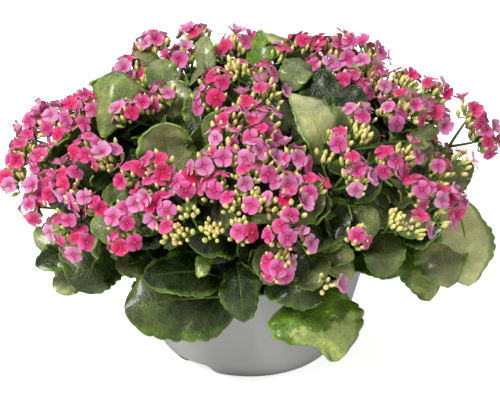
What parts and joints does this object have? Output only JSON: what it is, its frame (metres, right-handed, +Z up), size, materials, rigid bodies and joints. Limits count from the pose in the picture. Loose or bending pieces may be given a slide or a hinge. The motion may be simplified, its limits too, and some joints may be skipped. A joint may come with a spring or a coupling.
{
  "type": "potted flowering plant",
  "caption": "Potted flaming katy: a shallow round plastic bowl packed with leafy stems, thick scalloped leaves and domed heads of small pink flowers.",
  "frame": {"origin": "middle of the pot's underside, at the height of the surface that it stands on", "axes": "+Z up, -Y towards the front as in the picture, +X to the viewer's right"},
  "size_m": [0.4884, 0.4206, 0.3235],
  "materials": {
    "pot": "matte",
    "soil": "matte",
    "leaf": "satin",
    "flower": "satin"
  },
  "bodies": {
    "root": {"pot": "pot", "soil": "soil", "stem_back_left": "leaf", "stem_back_right": "leaf", "stem_front_left": "leaf", "stem_front_low": "leaf", "stem_front_right": "leaf", "stem_left": "leaf", "stem_left_back": "leaf", "stem_left_front": "leaf", "stem_left_low": "leaf", "stem_middle": "leaf", "stem_right": "leaf", "stem_right_back": "leaf", "stem_right_front": "leaf", "stem_right_low": "leaf", "head_back_left_far_0_3": "flower", "head_back_left_far_1_1": "flower", "head_back_left_far_2_0": "flower", "head_back_right_far_0_1": "flower", "head_back_right_far_0_2": "flower", "head_front_left_breast": "flower", "head_front_left_buds": "flower", "head_front_left_cheek": "flower", "head_front_left_crest": "flower", "head_front_left_throat": "flower", "head_front_low_drip": "flower", "head_front_right_bib": "flower", "head_front_right_brow": "flower", "head_front_right_cascade": "flower", "head_left_back_crown": "flower", "head_left_back_ear": "flower", "head_left_back_far_1_2": "flower", "head_left_back_peak": "flower", "head_left_back_slope": "flower", "head_left_collar": "flower", "head_left_far_0_4": "flower", "head_left_front_feather": "flower", "head_left_front_pendant": "flower", "head_left_front_plume": "flower", "head_left_low_ruff": "flower", "head_left_low_skirt": "flower", "head_left_shoulder": "flower", "head_left_wing": "flower", "head_middle_summit": "flower", "head_right_back_bank": "flower", "head_right_back_crown": "flower", "head_right_back_far_1_0": "flower", "head_right_back_ridge": "flower", "head_right_back_slope": "flower", "head_right_far_0_0": "flower", "head_right_front_lapel": "flower", "head_right_front_single": "flower", "head_right_knoll": "flower", "head_right_low_fan": "flower", "head_right_low_knot": "flower", "head_right_low_pendant": "flower", "head_right_low_tassel": "flower", "head_right_shoulder": "flower", "head_right_wing": "flower"}
  },
  "joints": []
}
